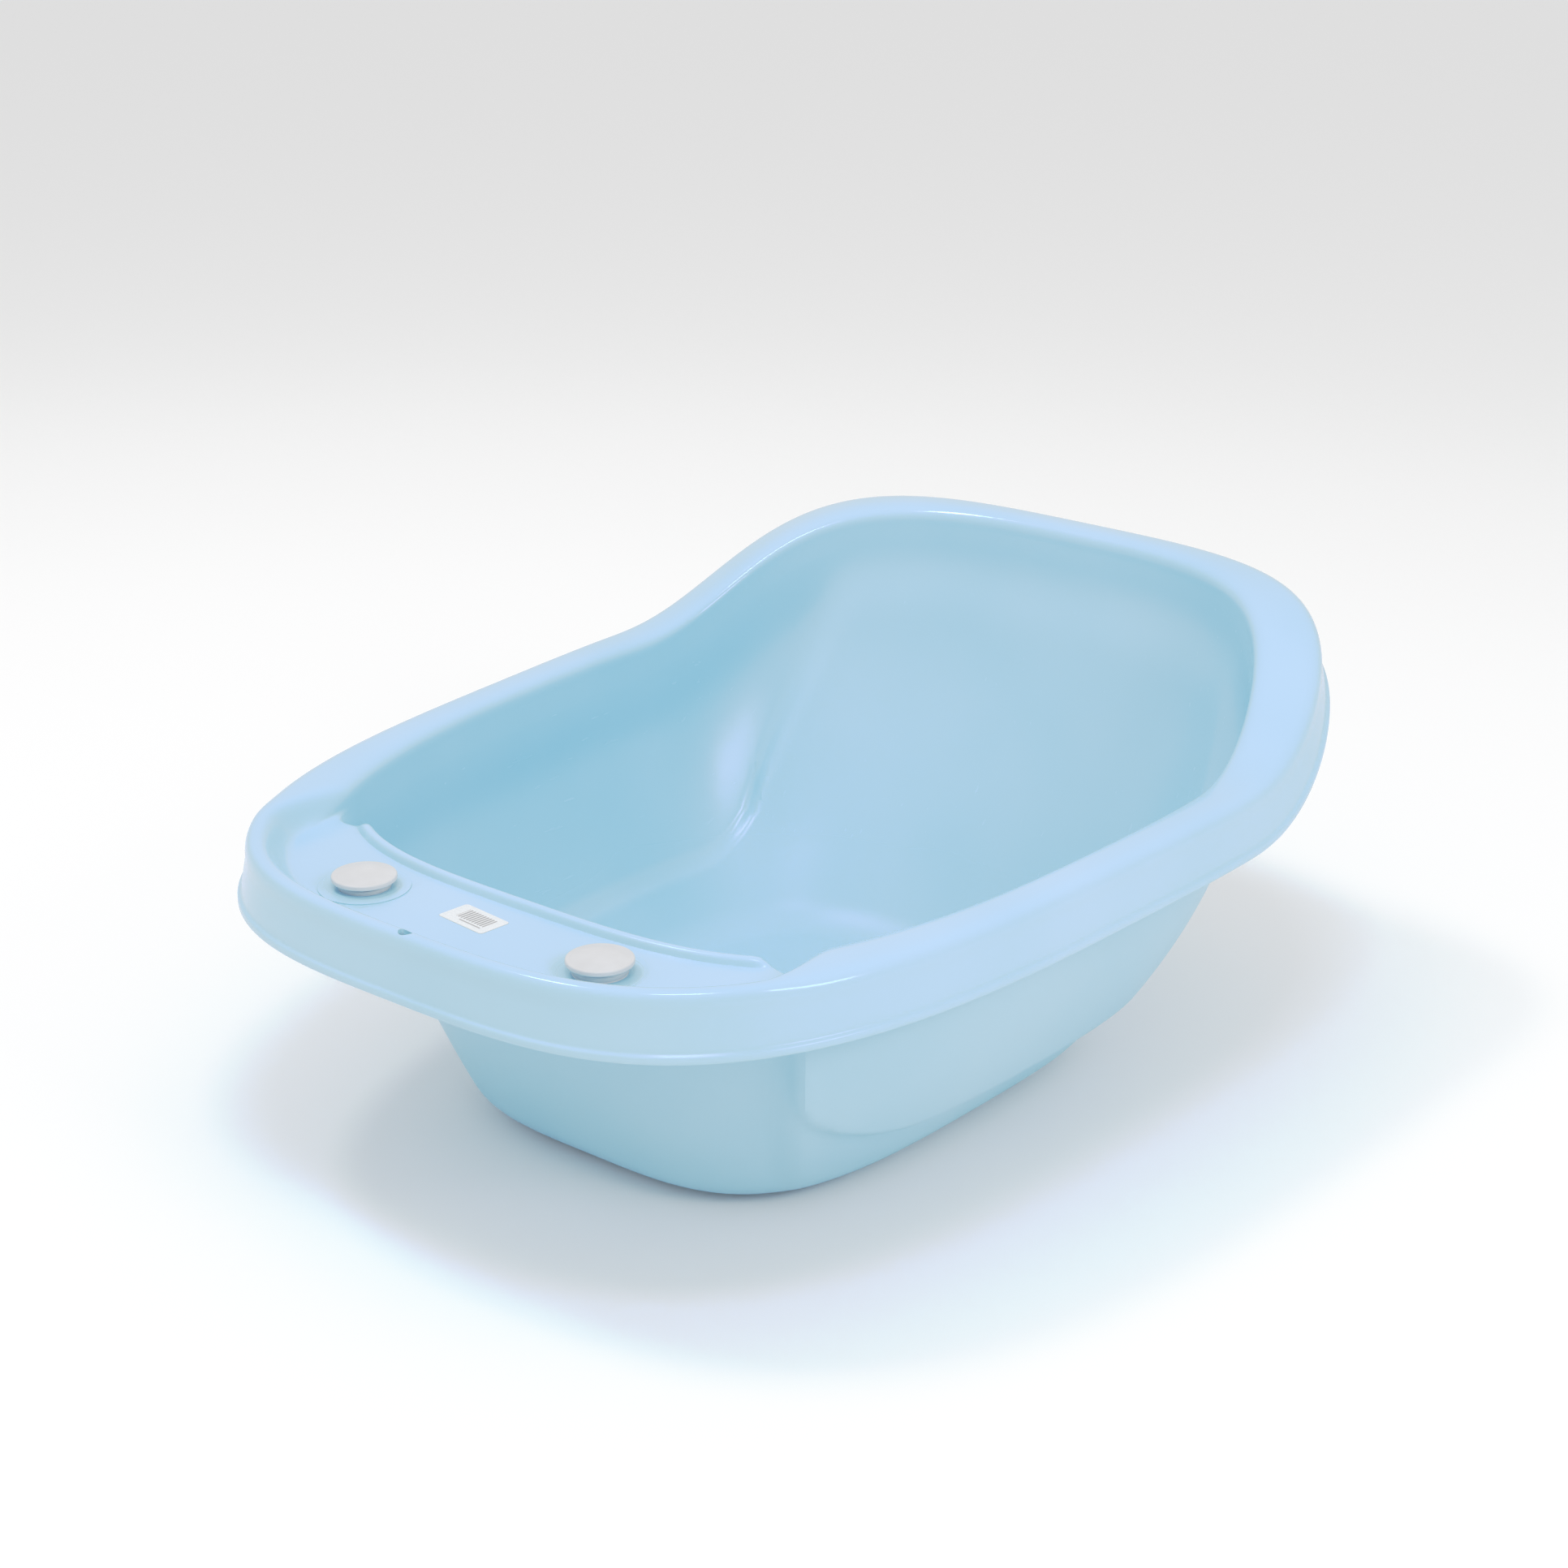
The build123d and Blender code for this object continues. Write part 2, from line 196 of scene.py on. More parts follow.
def panel_share(angle, height):
    """1 on a side panel, 0 off it."""
    turned = degrees_from_head(angle)
    rise = (height - PANEL_HEEL_FOOT) / (PANEL_HEEL_TOP - PANEL_HEEL_FOOT)
    rise = min(max(rise, 0.0), 1.0)
    heel_start = mix(PANEL_HEEL_HIGH, PANEL_HEEL_LOW, (1 - rise) ** PANEL_HEEL_BEND)
    heel_width = PANEL_HEEL_WIDTH + PANEL_HEEL_SPREAD * rise
    toe = (PANEL_TOE - turned) / PANEL_CORNER_ANGLE
    heel = PANEL_EDGE * (turned - heel_start) / heel_width
    across = min(toe, heel)
    up = (height - PANEL_BOTTOM) / PANEL_CORNER_RISE
    inside = min(across, up)
    if across < 1 and up < 1:
        inside = 1 - hypot(1 - across, 1 - up)
    return smooth_step(inside / PANEL_EDGE)


def place(angle, radius, height):
    x = radius * cos(angle)
    y = radius * sin(angle) * (1 + HEAD_FLARE * x / HALF_LENGTH)
    return (x * MM, y * MM, height * MM)


def lip_line(angle, crest):
    """The thin rounded band at the edge of the skirt, and its blend into the skirt."""
    bottom = crest - LIP_DROP
    profile = (
        (0.8, 0.0), (0.25, 0.25), (0.0, 0.8), (0.0, 2.4), (0.05, 3.9), (0.35, 4.7), (0.9, 5.25),
        (1.7, 5.75), (2.3, 6.4), (2.55, 7.4), (2.75, 9.0),
    )
    return [(rim_radius(angle, inset), bottom + rise) for inset, rise in profile]


def roll_line(angle, crest, shelf):
    """The skirt, and over the roll to the top of the wall or the edge of the shelf."""
    top = mix(ROLL_START + ROLL_HALF_WIDTH, SHELF_CREST_INSET, shelf)
    skirt_foot = crest - LIP_DROP + 9.0
    skirt_top = crest - ROLL_HEIGHT
    points = []
    for share in steps(5)[:-1]:
        points.append((rim_radius(angle, mix(LIP_STEP + 0.25, ROLL_START, share)),
                       mix(skirt_foot, skirt_top, share)))
    for step in range(11):
        turn = pi / 2 * step / 10
        inset = mix(top, ROLL_START, abs(cos(turn)) ** (2 / ROLL_POWER))
        fall = ROLL_HEIGHT * (1 - sin(turn) ** (2 / ROLL_POWER))
        points.append((rim_radius(angle, inset), crest - fall))
    crest_radius = rim_radius(angle, top)
    end_radius = wall_top_radius(angle, shelf)
    for share in steps(14):
        turn = pi / 2 * share
        inset_share = mix(sin(turn) ** (2 / ROLL_POWER), share, shelf)
        roll_fall = ROLL_HEIGHT * (1 - abs(cos(turn)) ** (2 / ROLL_POWER))
        fall = mix(roll_fall, (LOW_CREST - SHELF) * smooth_step(share), shelf)
        points.append((mix(crest_radius, end_radius, inset_share), crest - fall))
    return points


def shelf_line(angle, crest, shelf):
    """Across the shelf and over its ridge, or over the notch's round edge where the ridge has ended."""
    ridge_share = share_near_foot(angle, RIDGE_END_ANGLE, RIDGE_FADE_ANGLE)
    side = wall_top_radius(angle, shelf)
    ridge = plan_radius(angle, RIDGE_REACH, HALF_LENGTH - ROLL_END, HALF_WIDTH - ROLL_END,
                        RIDGE_POWER, WALL_HEAD_POWER)
    foot = ridge + 2 * RIDGE_RADIUS
    stations = [(mix(side, foot, share), SHELF) for share in (0.04, 0.12, 0.3, 0.5, 0.7, 0.86, 0.95, 1.0)]
    for share in steps(13):
        turn = radians(mix(172, 10, share))
        over_radius = ridge + RIDGE_RADIUS * (1 - cos(turn))
        over_height = SHELF + RIDGE_RADIUS * sin(turn) * smooth_step(0.25 + share * 2)
        drop = radians(84 * share)
        off_radius = foot - (foot - ridge) * sin(drop)
        off_height = SHELF - NOTCH_ROUND * (1 - cos(drop))
        stations.append((mix(off_radius, over_radius, ridge_share),
                         mix(off_height, over_height, ridge_share)))
    points = []
    for count, (radius, height) in enumerate(stations, start=1):
        wall_radius = side - 0.06 * count
        wall_height = crest - ROLL_HEIGHT - 0.8 * count
        points.append((mix(wall_radius, radius, shelf), mix(wall_height, height, shelf)))
    return points


def wall_line(angle, top_radius, top_height):
    """From the top of the wall down to the edge of the flat floor."""
    floor = plan_radius(angle, FLOOR_FOOT, FLOOR_HEAD, FLOOR_HALF_WIDTH, FLOOR_POWER, FLOOR_POWER)
    at_head = cos(angle) > 0
    bow = mix(SIDE_BOW, HEAD_BOW if at_head else FOOT_BOW, cos(angle) ** 2)
    tuck = mix(SIDE_TUCK, HEAD_TUCK if at_head else FOOT_TUCK, cos(angle) ** 2)
    upper_end, lower_end = 84.0, FLOOR + FLOOR_FILLET
    heights = [mix(top_height, upper_end, share) for share in steps(20)]
    heights += [mix(upper_end, lower_end, share) for share in steps(18)[:-1]]
    heights += [FLOOR + FLOOR_FILLET * (1 - cos(pi / 2 * (1 - step / 8))) for step in range(9)]
    points = []
    for height in heights:
        share = (height - FLOOR) / (top_height - FLOOR)
        below_rim = smooth_step((top_height - height) / TUCK_HEIGHT)
        radius = mix(floor, top_radius - tuck * below_rim, 1 - (1 - share) ** bow)
        if height < lower_end:
            above = FLOOR_FILLET - (height - FLOOR)
            radius -= FLOOR_FILLET - (FLOOR_FILLET**2 - above**2) ** 0.5
        radius += PANEL_DEPTH * panel_share(angle, height) * below_rim
        points.append((radius, height))
    return points


def offset_line(upper, lip_count):
    """The lower side of the shell, one wall thickness away; straight up inside the lip."""
    points = []
    for index, (radius, height) in enumerate(upper):
        before = upper[max(index - 1, 0)]
        after = upper[min(index + 1, len(upper) - 1)]
        run, rise = after[0] - before[0], after[1] - before[1]
        length = hypot(run, rise)
        points.append((radius - WALL * rise / length, height + WALL * run / length))
    lip_top = points[lip_count]
    first = (upper[2][0] - WALL - 0.2, upper[0][1] + 0.1)
    for index in range(lip_count):
        share = index / lip_count
        points[index] = (mix(first[0], lip_top[0], share), mix(first[1], lip_top[1], share))
    points[-1] = (upper[-1][0], upper[-1][1] - WALL)
    return points


FLOOR_SHARES = (0.9, 0.75, 0.55, 0.35, 0.16)


def section(angle):
    """One whole upright section: base centre, under the shell, round the lip, down to the floor's centre."""
    crest = crest_height(rim_radius(angle, ROLL_START) * cos(angle))
    shelf = share_near_foot(angle, SHELF_END_ANGLE, SHELF_FADE_ANGLE)
    lip = lip_line(angle, crest)
    upper = lip + roll_line(angle, crest, shelf) + shelf_line(angle, crest, shelf)
    upper += wall_line(angle, *upper[-1])
    lower = offset_line(upper, len(lip))
    edge, base = lower[-1]
    ring = edge - BASE_RING_INSET
    foot_profile = (
        (ring + 0.8, base), (ring + 0.15, base - 0.3), (ring, base - 1.2), (ring - 0.15, 0.7),
        (ring - 0.8, 0.0), (ring - BASE_RING_WIDTH + 0.8, 0.0), (ring - BASE_RING_WIDTH + 0.15, 0.7),
        (ring - BASE_RING_WIDTH, base - 1.2), (ring - BASE_RING_WIDTH - 0.15, base - 0.3),
        (ring - BASE_RING_WIDTH - 0.8, base),
    )
    inner_base = ring - BASE_RING_WIDTH - 2
    under = [(inner_base * share, base) for share in reversed(FLOOR_SHARES)]
    over = [(upper[-1][0] * share, FLOOR) for share in FLOOR_SHARES]
    below = under + list(reversed(foot_profile)) + list(reversed(lower))
    return below + upper + over, len(below), len(lip)


# Mesh helpers -----------------------------------------------------------------------------------------
def new_object(name, verts, faces, sharp_angle=35.0):
    mesh = bpy.data.meshes.new(name)
    mesh.from_pydata(verts, [], faces)
    mesh.update()
    obj = bpy.data.objects.new(name, mesh)
    bpy.context.scene.collection.objects.link(obj)
    shade(obj, sharp_angle)
    return obj


def shade(obj, sharp_angle):
    mesh = obj.data
    mesh.polygons.foreach_set("use_smooth", [True] * len(mesh.polygons))
    mesh.set_sharp_from_angle(angle=radians(sharp_angle))
    mesh.update()


LIP_SATIN = 0.15
LIP_SATIN_END = 4           # stations of the section, counted from the top of the lip
WALL_SATIN = 0.35
WALL_SATIN_START = 26
FLOOR_SATIN = 0.5
FLOOR_SATIN_START = 68


def satin_of(level, below_count, lip_count):
    """How matt the moulding is here: matt below, polished on the rim, and matter again down the inside."""
    if level < below_count:
        return 1.0
    over_lip = level - below_count - lip_count
    on_lip = smooth_step((LIP_SATIN_END - over_lip) / 2)
    on_wall = smooth_step((over_lip - WALL_SATIN_START) / 12)
    on_floor = smooth_step((over_lip - FLOOR_SATIN_START) / 20)
    return LIP_SATIN * on_lip + WALL_SATIN * on_wall + FLOOR_SATIN * on_floor


def lofted(rings_by_column):
    """Vertices and faces of a closed skin: columns of points round the axis, capped at both ends."""
    columns, count = len(rings_by_column), len(rings_by_column[0])
    verts = [point for column in rings_by_column for point in column]
    faces = []
    for column in range(columns):
        here, there = column * count, (column + 1) % columns * count
        for level in range(count - 1):
            faces.append((here + level, there + level, there + level + 1, here + level + 1))
    for level, turn in ((0, -1), (count - 1, 1)):
        centre = len(verts)
        verts.append((0.0, 0.0, rings_by_column[0][level][2]))
        for column in range(columns):
            here, there = column * count + level, (column + 1) % columns * count + level
            faces.append((here, there, centre)[::turn])
    return verts, faces


def turned(name, profile, around=128, centre=(0.0, 0.0), sharp_angle=40.0):
    """A lathe-turned piece; a profile that starts and ends on the axis is closed there."""
    verts, faces = [], []
    count = len(profile)
    on_axis = [radius < 1e-6 for radius, _ in profile]
    index = {}
    for level, (radius, height) in enumerate(profile):
        for column in range(1 if on_axis[level] else around):
            angle = 2 * pi * column / around
            index[level, column] = len(verts)
            verts.append(((centre[0] + radius * cos(angle)) * MM, (centre[1] + radius * sin(angle)) * MM,
                          height * MM))
    closed = not (on_axis[0] and on_axis[-1])
    for level in range(count if closed else count - 1):
        after = (level + 1) % count
        for column in range(around):
            beside = (column + 1) % around
            a = index[level, 0 if on_axis[level] else column]
            b = index[level, 0 if on_axis[level] else beside]
            c = index[after, 0 if on_axis[after] else beside]
            d = index[after, 0 if on_axis[after] else column]
            corners = [a]
            for corner in (b, c, d):
                if corner not in corners:
                    corners.append(corner)
            faces.append(tuple(corners))
    return new_object(name, verts, faces, sharp_angle)


def arc(centre, radius, start, end, count):
    """Points of an arc in a profile, from one angle to the other, in degrees."""
    return [(centre[0] + radius * cos(radians(mix(start, end, step / count))),
             centre[1] + radius * sin(radians(mix(start, end, step / count)))) for step in range(count + 1)]


def cut(target, cutter):
    """Takes the cutter out of the target's mesh and removes the cutter."""
    modifier = target.modifiers.new("cut", "BOOLEAN")
    modifier.operation = "DIFFERENCE"
    modifier.solver = "EXACT"
    modifier.object = cutter
    depsgraph = bpy.context.evaluated_depsgraph_get()
    mesh = bpy.data.meshes.new_from_object(target.evaluated_get(depsgraph))
    old = target.data
    target.modifiers.clear()
    target.data = mesh
    bpy.data.meshes.remove(old)
    bpy.data.objects.remove(cutter)


# Shell ------------------------------------------------------------------------------------------------
columns = []
for step in range(AROUND):
    angle = 2 * pi * step / AROUND
    points, below_count, lip_count = section(angle)
    columns.append([place(angle, *point) for point in points])
tub = new_object("tub_shell_moulding", *lofted(columns))
satin = [satin_of(level, below_count, lip_count) for level in range(len(columns[0]))] * AROUND
satin += [1.0, WALL_SATIN + FLOOR_SATIN]   # centres of the base and of the floor
tub.data.attributes.new("satin", "FLOAT", "POINT").data.foreach_set("value", satin)

for side in (-1, 1):
    dish = [(0, DISH), (DISH_RADIUS - 1.0, DISH), (DISH_RADIUS, DISH + 0.08)]
    dish += [(DISH_RADIUS + DISH_SLOPE - 0.8, SHELF - 0.12), (DISH_RADIUS + DISH_SLOPE, SHELF + 0.02),
             (DISH_RADIUS + DISH_SLOPE, SHELF + 0.6), (0, SHELF + 0.6)]
    centre = (PLUG_X, side * PLUG_Y)
    cut(tub, turned("dish_cutter", dish, 96, centre))
    hole = [(0, DISH - 12), (PLUG_HOLE_RADIUS, DISH - 12), (PLUG_HOLE_RADIUS, DISH + 5), (0, DISH + 5)]
    cut(tub, turned("hole_cutter", hole, 96, centre))
hole_bottom, hole_top = SHELF - 30, SHELF + 40
hole = [(0, hole_bottom), (HANGING_HOLE_RADIUS, hole_bottom), (HANGING_HOLE_RADIUS, hole_top), (0, hole_top)]
cut(tub, turned("hanging_cutter", hole, 48, (HANGING_HOLE_X, 0)))
shade(tub, 32.0)

# Plugs, seals and label ---------------------------------------------------------------------------------
dome_half = CAP_RADIUS - 1.5
dome_radius = (dome_half**2 + CAP_CROWN**2) / (2 * CAP_CROWN)
dome_angle = degrees(atan2(dome_half, dome_radius - CAP_CROWN))
dome_centre = (0.0, DISH + CAP_EDGE_TOP + CAP_CROWN - dome_radius)
plug_pieces = {}
for side, side_name in ((1, "left"), (-1, "right")):
    centre = (PLUG_X, side * PLUG_Y)
    seat = DISH + CAP_BOTTOM
    # mushroom cap: hollow stem, undercut rim with a fine parting line, low dome
    cap = [(0, seat + 1.2), (STEM_BORE, seat + 1.2), (STEM_BORE, DISH + STEM_TIP)]
    cap += [(STEM_BORE + 1.0, DISH + STEM_TIP), (STEM_RADIUS, DISH + STEM_TIP + 2), (STEM_RADIUS, seat)]
    cap += [(CAP_RADIUS - 2.2, seat)]
    cap += arc((CAP_RADIUS - 1.1, seat + 1.1), 1.1, 270, 360, 6)
    cap += [(CAP_RADIUS, seat + 1.75), (CAP_RADIUS - 0.12, seat + 1.88), (CAP_RADIUS - 0.05, seat + 2.0)]
    cap += arc((CAP_RADIUS - 1.3, DISH + CAP_EDGE_TOP - 1.0), 1.25, 8, 76, 7)
    cap += arc(dome_centre, dome_radius, 90 - dome_angle * 0.985, 90, 22)
    cap[-1] = (0, cap[-1][1])
    cap = turned(f"{side_name}_plug_cap_dome", cap, 128, centre, 30)
    # sleeve with a flange, a shallow groove and a snap bead
    under = DISH - WALL + BEAD_OVERLAP
    collar = [(COLLAR_BORE, DISH + COLLAR_TOP - 0.4), (COLLAR_BORE + 0.4, DISH + COLLAR_TOP)]
    collar += [(COLLAR_RADIUS - 1.2, DISH + COLLAR_TOP), (COLLAR_RADIUS - 0.35, DISH + COLLAR_TOP - 0.35)]
    collar += [(COLLAR_RADIUS, DISH + COLLAR_TOP - 1.2), (COLLAR_RADIUS, DISH + 1.3)]
    collar += [(COLLAR_RADIUS - 0.25, DISH + 1.0), (COLLAR_RADIUS - 0.25, DISH + 0.6)]
    collar += [(COLLAR_RADIUS, DISH + 0.3), (COLLAR_RADIUS, DISH)]
    collar += [(SLEEVE_RADIUS, DISH), (SLEEVE_RADIUS, under)]
    collar += [(SLEEVE_RADIUS + 1.0, under - 1.0), (SLEEVE_RADIUS, under - 2.0)]
    collar += [(SLEEVE_RADIUS - 1.0, DISH + SLEEVE_END), (COLLAR_BORE, DISH + SLEEVE_END)]
    collar = turned(f"{side_name}_plug_collar_sleeve", collar, 96, centre)
    plug_pieces[side_name] = (cap, collar)


def rounded_outline(length, width, corner, count=8):
    points = []
    for quarter in range(4):
        sign_x = 1 if quarter in (0, 3) else -1
        sign_y = 1 if quarter in (0, 1) else -1
        for step in range(count + 1):
            angle = pi / 2 * (quarter + step / count)
            points.append((sign_x * (length / 2 - corner) + corner * cos(angle),
                           sign_y * (width / 2 - corner) + corner * sin(angle)))
    return points


def sticker():
    """Thin paper sticker with rounded corners and a softened top edge."""
    turn = radians(LABEL_TURN)
    verts, faces = [], []
    rings = ((0.0, LABEL_BOTTOM), (0.0, LABEL_TOP - LABEL_SOFT), (LABEL_SOFT, LABEL_TOP),
             (1.2, LABEL_TOP), (5.0, LABEL_TOP))
    for inset, height in rings:
        corner = max(LABEL_CORNER - inset, 0.4)
        for x, y in rounded_outline(LABEL_LENGTH - 2 * inset, LABEL_WIDTH - 2 * inset, corner):
            verts.append(((LABEL_X + x * cos(turn) - y * sin(turn)) * MM,
                          (LABEL_Y + x * sin(turn) + y * cos(turn)) * MM, height * MM))
    count = len(verts) // len(rings)
    for ring in range(len(rings) - 1):
        for index in range(count):
            beside = (index + 1) % count
            faces.append((ring * count + index, ring * count + beside, (ring + 1) * count + beside,
                          (ring + 1) * count + index))
    faces.append(tuple(reversed(range(count))))
    faces.append(tuple(range((len(rings) - 1) * count, len(rings) * count)))
    return new_object("label_sticker", verts, faces, 30)


label = sticker()


# Materials ----------------------------------------------------------------------------------------------
class Nodes:
    """Short way to add and link the nodes of one material."""

    def __init__(self, name):
        self.material = bpy.data.materials.new(name)
        self.material.use_nodes = True
        self.tree = self.material.node_tree
        self.shader = next(n for n in self.tree.nodes if n.type == "BSDF_PRINCIPLED")

    def add(self, kind, **inputs):
        node = self.tree.nodes.new(kind)
        self.fill(node, inputs)
        return node

    def fill(self, node, inputs):
        for name, value in inputs.items():
            socket = node.inputs[name.replace("_", " ")]
            if isinstance(value, bpy.types.NodeSocket):
                self.tree.links.new(value, socket)
            else:
                socket.default_value = value

    def noise(self, place, scale, detail=3.0, roughness=0.55):
        return self.add("ShaderNodeTexNoise", Vector=place, Scale=scale, Detail=detail,
                        Roughness=roughness).outputs["Fac"]

    def ramp(self, value, low, high, low_value, high_value):
        node = self.add("ShaderNodeMapRange", Value=value)
        for socket, number in zip(list(node.inputs)[1:5], (low, high, low_value, high_value)):
            socket.default_value = number
        return node.outputs["Result"]

    def math(self, operation, first, second=0.0):
        node = self.tree.nodes.new("ShaderNodeMath")
        node.operation = operation
        for socket, value in zip(node.inputs, (first, second)):
            if isinstance(value, bpy.types.NodeSocket):
                self.tree.links.new(value, socket)
            else:
                socket.default_value = value
        return node.outputs[0]

    def blend(self, share, first, second):
        node = self.tree.nodes.new("ShaderNodeMix")
        node.data_type = "RGBA"
        for socket, value in zip((node.inputs[0], node.inputs[6], node.inputs[7]), (share, first, second)):
            if isinstance(value, bpy.types.NodeSocket):
                self.tree.links.new(value, socket)
            else:
                socket.default_value = value
        return node.outputs[2]

    def place(self):
        return self.tree.nodes.new("ShaderNodeNewGeometry").outputs["Position"]

    def bump(self, height, strength, distance):
        return self.add("ShaderNodeBump", Height=height, Strength=strength,
                        Distance=distance).outputs["Normal"]


def linear(red, green, blue):
    """sRGB 0-255 to a linear colour."""
    channels = []
    for value in (red, green, blue):
        value /= 255
        channels.append(value / 12.92 if value <= 0.04045 else ((value + 0.055) / 1.055) ** 2.4)
    return (*channels, 1.0)


TUB_COLOUR = linear(164, 207, 230)
TUB_PALE = linear(169, 210, 232)
TUB_DEEP = linear(159, 204, 228)
SATIN = 0.45
GLOSSY = 0.13


def tub_plastic():
    """Pale blue polypropylene: glossy inside and on the rim, satin outside, with faint flow marks."""
    n = Nodes("pale_blue_polypropylene")
    where = n.place()
    cloud = n.noise(where, 5.0, 2.0)
    fine = n.noise(where, 60.0, 4.0)
    colour = n.blend(n.ramp(cloud, 0.3, 0.7, 0.0, 1.0), TUB_PALE, TUB_DEEP)
    colour = n.blend(n.ramp(fine, 0.35, 0.75, 0.0, 0.18), colour, TUB_COLOUR)
    satin = n.add("ShaderNodeAttribute")
    satin.attribute_name = "satin"
    satin = satin.outputs["Fac"]
    roughness = n.math("ADD", n.ramp(satin, 0.0, 1.0, GLOSSY, SATIN), n.ramp(cloud, 0.3, 0.7, -0.03, 0.03))
    # hairline scratches from use, stretched along the tub
    stretch = n.add("ShaderNodeVectorMath", Vector=where)
    stretch.operation = "MULTIPLY"
    stretch.inputs[1].default_value = (6.0, 90.0, 30.0)
    hair = n.ramp(n.noise(stretch.outputs["Vector"], 4.0, 5.0), 0.66, 0.74, 0.0, 1.0)
    roughness = n.math("ADD", roughness, n.math("MULTIPLY", hair, 0.05))
    peel = n.noise(where, 38.0, 2.0)
    grain = n.noise(where, 900.0, 2.0)
    matt_grain = n.math("MULTIPLY", n.math("MULTIPLY", grain, satin), 0.05)
    height = n.math("ADD", peel, matt_grain)
    height = n.math("SUBTRACT", height, n.math("MULTIPLY", hair, 0.006))
    n.fill(n.shader, {"Base_Color": colour, "Roughness": roughness, "IOR": 1.49,
                      "Normal": n.bump(height, 0.35, 0.0004)})
    return n.material


def white_plastic(name, tone, rough):
    """White moulded plastic with fine swirl and light handling marks."""
    n = Nodes(name)
    where = n.place()
    cloud = n.noise(where, 45.0, 3.0)
    fine = n.noise(where, 420.0, 3.0)
    colour = n.blend(n.ramp(cloud, 0.35, 0.7, 0.0, 1.0), linear(*tone), linear(*(c - 9 for c in tone)))
    roughness = n.ramp(fine, 0.3, 0.7, rough - 0.05, rough + 0.07)
    n.fill(n.shader, {"Base_Color": colour, "Roughness": roughness, "IOR": 1.49,
                      "Normal": n.bump(fine, 0.2, 0.00008)})
    return n.material


def rubber():
    n = Nodes("grey_soft_silicone")
    where = n.place()
    fine = n.noise(where, 700.0, 3.0)
    colour = n.blend(n.ramp(fine, 0.3, 0.7, 0.0, 1.0), linear(196, 198, 200), linear(180, 183, 186))
    n.fill(n.shader, {"Base_Color": colour, "Roughness": n.ramp(fine, 0.3, 0.7, 0.55, 0.7),
                      "Normal": n.bump(fine, 0.3, 0.0001)})
    return n.material


def label_paper():
    """White sticker with a plain block of grey bars and one grey rule; no lettering."""
    n = Nodes("label_paper")
    turn = radians(LABEL_TURN)
    mapping = n.add("ShaderNodeMapping", Vector=n.place())
    mapping.vector_type = "TEXTURE"
    mapping.inputs["Location"].default_value = (LABEL_X * MM, LABEL_Y * MM, 0)
    mapping.inputs["Rotation"].default_value = (0, 0, turn)
    spot = n.add("ShaderNodeSeparateXYZ", Vector=mapping.outputs["Vector"])
    along, across = spot.outputs["X"], spot.outputs["Y"]

    def inside(value, low, high):
        return n.math("MULTIPLY", n.math("GREATER_THAN", value, low * MM),
                      n.math("LESS_THAN", value, high * MM))

    block = n.math("MULTIPLY", inside(along, -14.0, 12.0), inside(across, -7.5, 4.5))
    bars = n.math("GREATER_THAN", n.math("FRACT", n.math("MULTIPLY", along, 1000 / 2.6)), 0.52)
    rules = n.math("MULTIPLY", inside(along, -14.0, 6.0), inside(across, 6.3, 7.2))
    ink = n.math("MAXIMUM", n.math("MULTIPLY", block, bars), rules)
    fibre = n.noise(n.place(), 900.0, 4.0)
    paper = n.blend(n.ramp(fibre, 0.3, 0.7, 0.0, 1.0), linear(226, 227, 229), linear(218, 220, 222))
    colour = n.blend(n.math("MULTIPLY", ink, 0.8), paper, linear(96, 100, 106))
    n.fill(n.shader, {"Base_Color": colour, "Roughness": n.ramp(fibre, 0.3, 0.7, 0.5, 0.62),
                      "Normal": n.bump(fibre, 0.25, 0.00005)})
    return n.material


def dress(obj, material):
    obj.data.materials.clear()
    obj.data.materials.append(material)


blue = tub_plastic()
cap_white = white_plastic("white_cap_plastic", (212, 213, 216), 0.33)
collar_white = white_plastic("white_collar_plastic", (204, 205, 208), 0.4)
dress(tub, blue)
dress(label, label_paper())
silicone = rubber()

# Riding on the frame --------------------------------------------------------------------------------------
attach(tub, "tub")
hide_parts("tub_shell")
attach(label, "tub")
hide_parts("label")
for side_name, (cap, collar) in plug_pieces.items():
    dress(cap, cap_white)
    dress(collar, collar_white)
    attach(cap, f"{side_name}_plug")
    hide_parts(f"{side_name}_plug_cap")
    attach(collar, "tub")
    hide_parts(f"{side_name}_plug_collar")
    dress(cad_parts[f"{side_name}_seal_ring"], silicone)

# Floor, light and camera ------------------------------------------------------------------------------------
STUDIO_SIZE = 24.0
STUDIO_DROP = 0.0004        # the tub stands this little above the studio floor, so no faces coincide
STUDIO_TONE = 0.95
WORLD_STRENGTH = 0.95
CEILING_ENERGY = 0.2
CEILING_SPREAD = 85
CEILING_DIRECTION = Vector((-0.22, -0.12, 1.0))
LIGHT_AIM = Vector((0, 0, 0.15))
LIGHT_DISTANCE = 2.6

bpy.ops.mesh.primitive_plane_add(size=STUDIO_SIZE, location=(0, 0, -STUDIO_DROP))
ground = bpy.context.object
ground.name = "studio_floor"
n = Nodes("pale_floor")
n.fill(n.shader, {"Base_Color": (STUDIO_TONE, STUDIO_TONE, STUDIO_TONE, 1.0), "Roughness": 0.9})
dress(ground, n.material)

world = bpy.data.worlds.new("studio")
bpy.context.scene.world = world
world.use_nodes = True
background = world.node_tree.nodes["Background"]
background.inputs["Color"].default_value = (1.0, 1.0, 1.0, 1.0)
background.inputs["Strength"].default_value = WORLD_STRENGTH


def toward(azimuth, elevation):
    """Unit vector from the tub; azimuth 0 looks from -Y and -90 from -X, in degrees."""
    a, e = radians(azimuth), radians(elevation)
    return Vector((sin(a) * cos(e), -cos(a) * cos(e), sin(e)))


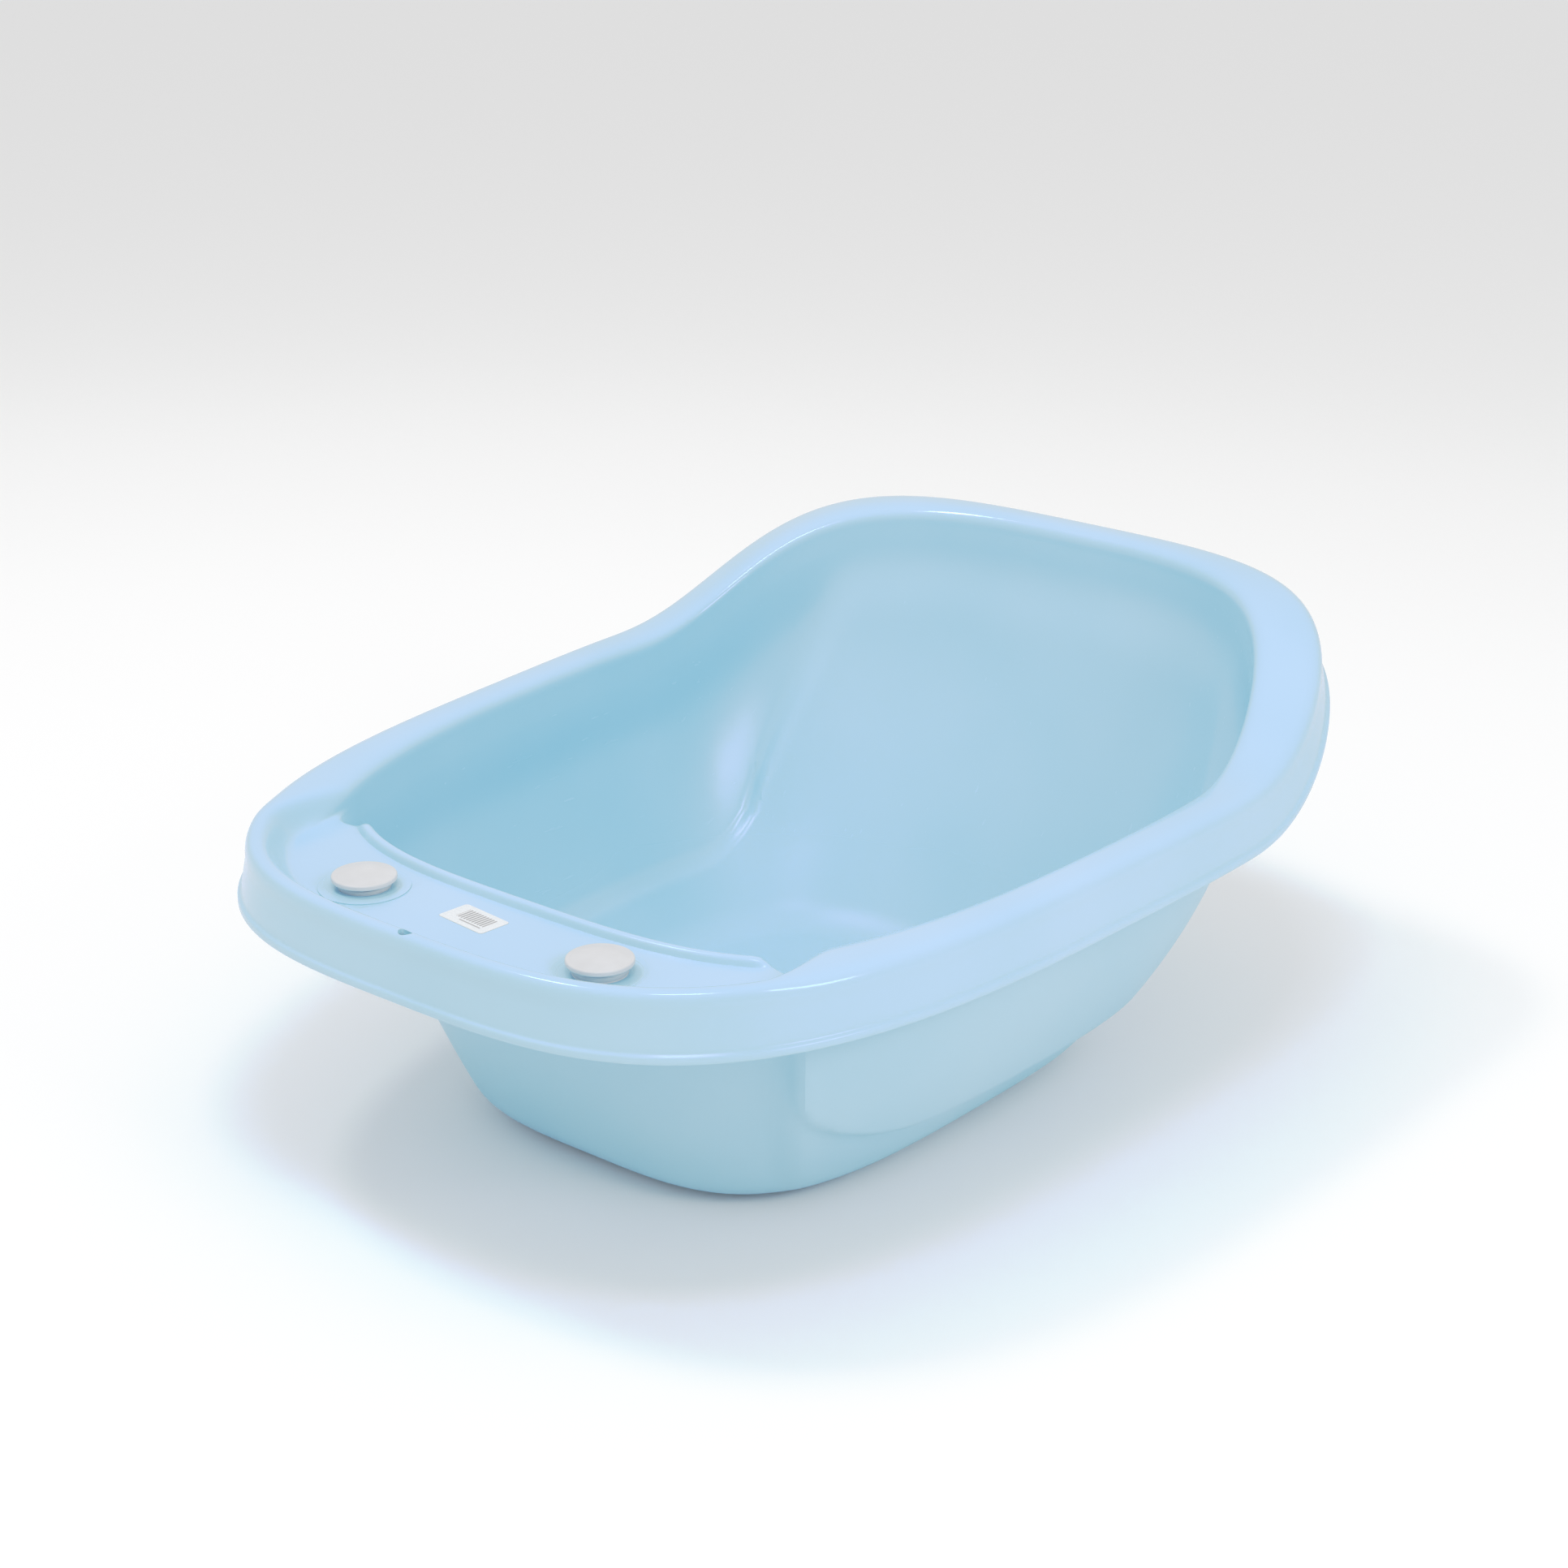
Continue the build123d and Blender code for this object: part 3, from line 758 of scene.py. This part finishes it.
def soft_light(name, azimuth, elevation, size, size_y, energy):
    """Area light that looks at the tub from this direction."""
    data = bpy.data.lights.new(name, "AREA")
    data.shape = "RECTANGLE"
    data.size, data.size_y, data.energy = size, size_y, energy
    light = bpy.data.objects.new(name, data)
    bpy.context.scene.collection.objects.link(light)
    direction = toward(azimuth, elevation)
    light.location = LIGHT_AIM + direction * LIGHT_DISTANCE
    light.rotation_euler = direction.to_track_quat("Z", "Y").to_euler()


ceiling_data = bpy.data.lights.new("ceiling", "SUN")
ceiling_data.energy = CEILING_ENERGY
ceiling_data.angle = radians(CEILING_SPREAD)
ceiling = bpy.data.objects.new("ceiling", ceiling_data)
bpy.context.scene.collection.objects.link(ceiling)
ceiling.rotation_euler = CEILING_DIRECTION.to_track_quat("Z", "Y").to_euler()
soft_light("left_softbox", -150, 64, 0.6, 0.35, 14)
soft_light("front_softbox", -52, 66, 0.7, 0.35, 13)
soft_light("right_softbox", -5, 30, 0.9, 0.5, 12)

SHOULDER_WHITE = 1.45
SHOULDER = ((0.25, 0.235), (0.5, 0.47), (0.8, 0.65), (1.03, 0.78), (1.15, 0.92), (1.25, 0.99))
CAMERA_AZIMUTH = -51.264
CAMERA_ELEVATION = 21.424
CAMERA_DISTANCE = 2.019
CAMERA_TARGET = Vector((-0.00495, 0.0, 0.2132))
SENSOR = 36.0
LENS = 66.31
camera_data = bpy.data.cameras.new("camera")
camera_data.sensor_width = SENSOR
camera_data.lens = LENS
camera = bpy.data.objects.new("camera", camera_data)
bpy.context.scene.collection.objects.link(camera)
back = toward(CAMERA_AZIMUTH, CAMERA_ELEVATION)
camera.location = CAMERA_TARGET + back * CAMERA_DISTANCE
camera.rotation_euler = back.to_track_quat("Z", "Y").to_euler()
bpy.context.scene.camera = camera
view = bpy.context.scene.view_settings
view.view_transform = "Standard"
# tone curve with a soft shoulder, as (light in, light out), so bright plastic stays pale and not white
view.use_curve_mapping = True
view.curve_mapping.white_level = (SHOULDER_WHITE,) * 3
curve = view.curve_mapping.curves[3]
for light_in, light_out in SHOULDER:
    curve.points.new(light_in / SHOULDER_WHITE, light_out)
view.curve_mapping.update()
